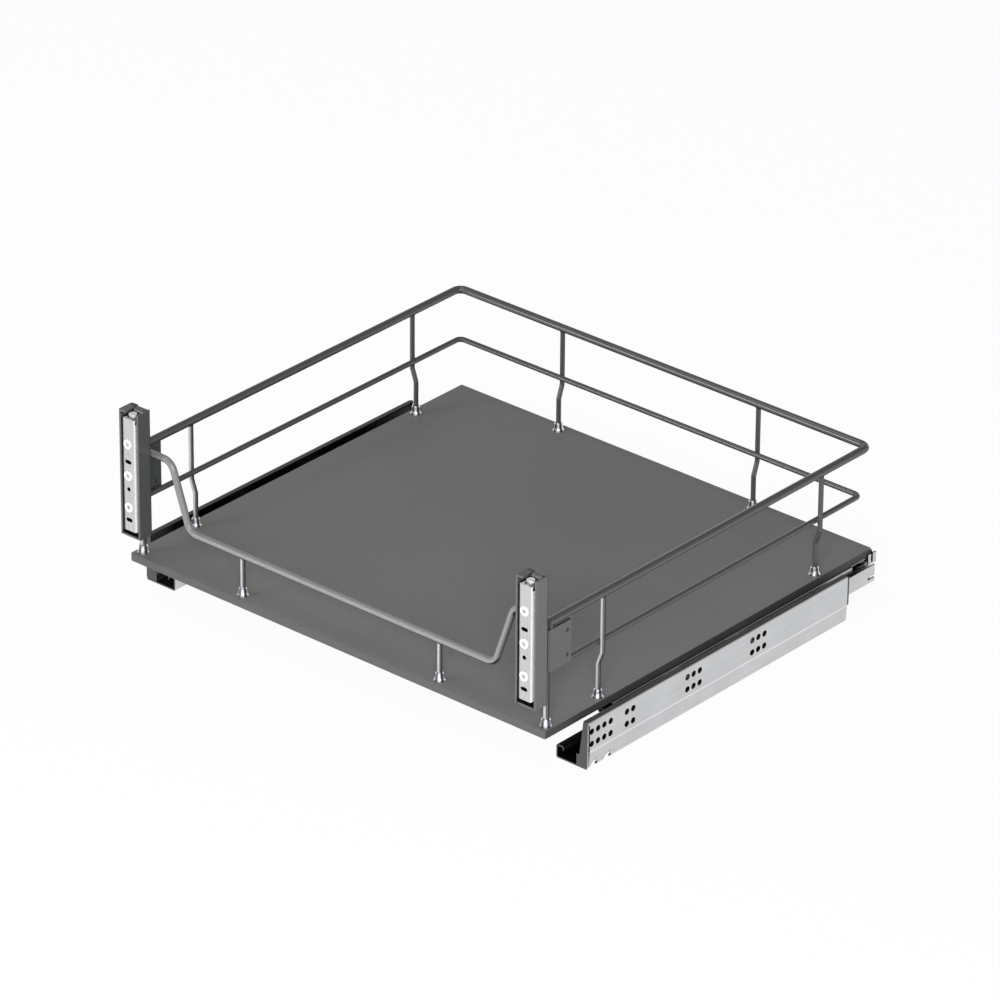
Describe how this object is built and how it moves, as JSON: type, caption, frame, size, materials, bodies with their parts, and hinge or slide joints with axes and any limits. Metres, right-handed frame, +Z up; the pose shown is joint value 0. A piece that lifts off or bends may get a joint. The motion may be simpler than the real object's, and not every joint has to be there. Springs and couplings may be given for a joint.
{
  "type": "concealed-rail pull-out drawer",
  "caption": "Pull-out shelf with a wire gallery on concealed full-extension side slides, with adjustable brackets for a front panel.",
  "frame": {"origin": "centre of the footprint's bounding box, on the underside of the cabinet profiles", "axes": "+X to the right as seen from the front, +Y to the rear of the cabinet, +Z up"},
  "size_m": [0.564, 0.5016, 0.2123],
  "materials": {
    "board": "matt grey melamine on board",
    "powder_coated_steel": "satin anthracite powder coat",
    "zinc_plated_steel": "bright zinc plate",
    "bright_steel": "bright zinc plate",
    "chrome_plate": "polished chrome plate",
    "white_nylon": "moulded white nylon",
    "natural_nylon": "moulded natural nylon",
    "grey_plastic": "moulded grey plastic",
    "dark_plastic": "moulded black plastic",
    "rubber_stop": "black rubber"
  },
  "bodies": {
    "cabinet_rails": {"left_cabinet_profile": "zinc_plated_steel", "right_cabinet_profile": "zinc_plated_steel", "stop_buffers": "rubber_stop"},
    "left_intermediate": {"left_intermediate_profile": "zinc_plated_steel"},
    "left_lower_roller_cage": {"left_lower_cage": "natural_nylon", "left_lower_rollers": "natural_nylon"},
    "left_upper_roller_cage": {"left_upper_cage": "natural_nylon", "left_upper_rollers": "natural_nylon"},
    "left_panel_fixing": {"left_fixing_plate": "zinc_plated_steel", "left_clamp_collars": "white_nylon", "left_clamp_screws": "bright_steel", "left_clamp_nuts": "bright_steel"},
    "left_adjuster": {"left_height_screw": "bright_steel"},
    "left_release": {"left_lock_lever": "dark_plastic"},
    "right_intermediate": {"right_intermediate_profile": "zinc_plated_steel"},
    "right_lower_roller_cage": {"right_lower_cage": "natural_nylon", "right_lower_rollers": "natural_nylon"},
    "right_upper_roller_cage": {"right_upper_cage": "natural_nylon", "right_upper_rollers": "natural_nylon"},
    "right_panel_fixing": {"right_fixing_plate": "zinc_plated_steel", "right_clamp_collars": "white_nylon", "right_clamp_screws": "bright_steel", "right_clamp_nuts": "bright_steel"},
    "right_adjuster": {"right_height_screw": "bright_steel"},
    "right_release": {"right_lock_lever": "dark_plastic"},
    "drawer": {"shelf_board": "board", "top_rail": "powder_coated_steel", "lower_rail": "powder_coated_steel", "front_rail": "powder_coated_steel", "left_front_post": "powder_coated_steel", "left_rear_post": "powder_coated_steel", "rear_left_post": "powder_coated_steel", "rear_right_post": "powder_coated_steel", "right_rear_post": "powder_coated_steel", "right_front_post": "powder_coated_steel", "front_left_post": "powder_coated_steel", "front_right_post": "powder_coated_steel", "left_bracket_post": "powder_coated_steel", "right_bracket_post": "powder_coated_steel", "left_bracket": "powder_coated_steel", "right_bracket": "powder_coated_steel", "left_connecting_plate": "powder_coated_steel", "right_connecting_plate": "powder_coated_steel", "left_gallery_tab": "powder_coated_steel", "right_gallery_tab": "powder_coated_steel", "plate_rivets": "powder_coated_steel", "left_drawer_profile": "zinc_plated_steel", "right_drawer_profile": "zinc_plated_steel", "foot_screws": "bright_steel", "lock_screws": "bright_steel", "lever_pins": "bright_steel", "foot_collars": "chrome_plate", "left_lock_housing": "grey_plastic", "right_lock_housing": "grey_plastic"}
  },
  "joints": [
    {"name": "drawer_slide", "type": "slide", "parent": "cabinet_rails", "child": "drawer", "axis": [0, -1, 0], "range_m": [0, 0.44]},
    {"name": "left_intermediate_slide", "type": "slide", "parent": "cabinet_rails", "child": "left_intermediate", "axis": [0, -1, 0], "range_m": [0, 0.22]},
    {"name": "left_lower_cage_slide", "type": "slide", "parent": "cabinet_rails", "child": "left_lower_roller_cage", "axis": [0, -1, 0], "range_m": [0, 0.11]},
    {"name": "left_upper_cage_slide", "type": "slide", "parent": "cabinet_rails", "child": "left_upper_roller_cage", "axis": [0, -1, 0], "range_m": [0, 0.33]},
    {"name": "right_intermediate_slide", "type": "slide", "parent": "cabinet_rails", "child": "right_intermediate", "axis": [0, -1, 0], "range_m": [0, 0.22]},
    {"name": "right_lower_cage_slide", "type": "slide", "parent": "cabinet_rails", "child": "right_lower_roller_cage", "axis": [0, -1, 0], "range_m": [0, 0.11]},
    {"name": "right_upper_cage_slide", "type": "slide", "parent": "cabinet_rails", "child": "right_upper_roller_cage", "axis": [0, -1, 0], "range_m": [0, 0.33]},
    {"name": "left_height_screw_turn", "type": "hinge", "parent": "drawer", "child": "left_adjuster", "pos_m": [-0.24925, -0.24545, 0.201], "axis": [0, 0, 1], "range_deg": [-771.9, 771.9]},
    {"name": "left_panel_height", "type": "slide", "parent": "drawer", "child": "left_panel_fixing", "axis": [0, 0, 1], "range_m": [-0.0015, 0.0015]},
    {"name": "right_height_screw_turn", "type": "hinge", "parent": "drawer", "child": "right_adjuster", "pos_m": [0.25085, -0.24545, 0.201], "axis": [0, 0, 1], "range_deg": [-771.9, 771.9]},
    {"name": "right_panel_height", "type": "slide", "parent": "drawer", "child": "right_panel_fixing", "axis": [0, 0, 1], "range_m": [-0.0015, 0.0015]},
    {"name": "left_release_turn", "type": "hinge", "parent": "drawer", "child": "left_release", "pos_m": [-0.23, -0.17575, 0.0289], "axis": [0, 0, -1], "range_deg": [0, 6], "stiffness_Nm_per_rad": 0.3, "springref_deg": -5.73},
    {"name": "right_release_turn", "type": "hinge", "parent": "drawer", "child": "right_release", "pos_m": [0.23, -0.17575, 0.0289], "axis": [0, 0, 1], "range_deg": [0, 6], "stiffness_Nm_per_rad": 0.3, "springref_deg": -5.73}
  ],
  "couplings": [
    {"joint": "left_intermediate_slide", "follows": "drawer_slide", "ratio": 0.5},
    {"joint": "left_lower_cage_slide", "follows": "drawer_slide", "ratio": 0.25},
    {"joint": "left_upper_cage_slide", "follows": "drawer_slide", "ratio": 0.75},
    {"joint": "right_intermediate_slide", "follows": "drawer_slide", "ratio": 0.5},
    {"joint": "right_lower_cage_slide", "follows": "drawer_slide", "ratio": 0.25},
    {"joint": "right_upper_cage_slide", "follows": "drawer_slide", "ratio": 0.75},
    {"joint": "left_height_screw_turn", "follows": "left_panel_height", "rad_per_m": 8976},
    {"joint": "right_height_screw_turn", "follows": "right_panel_height", "rad_per_m": 8976}
  ]
}
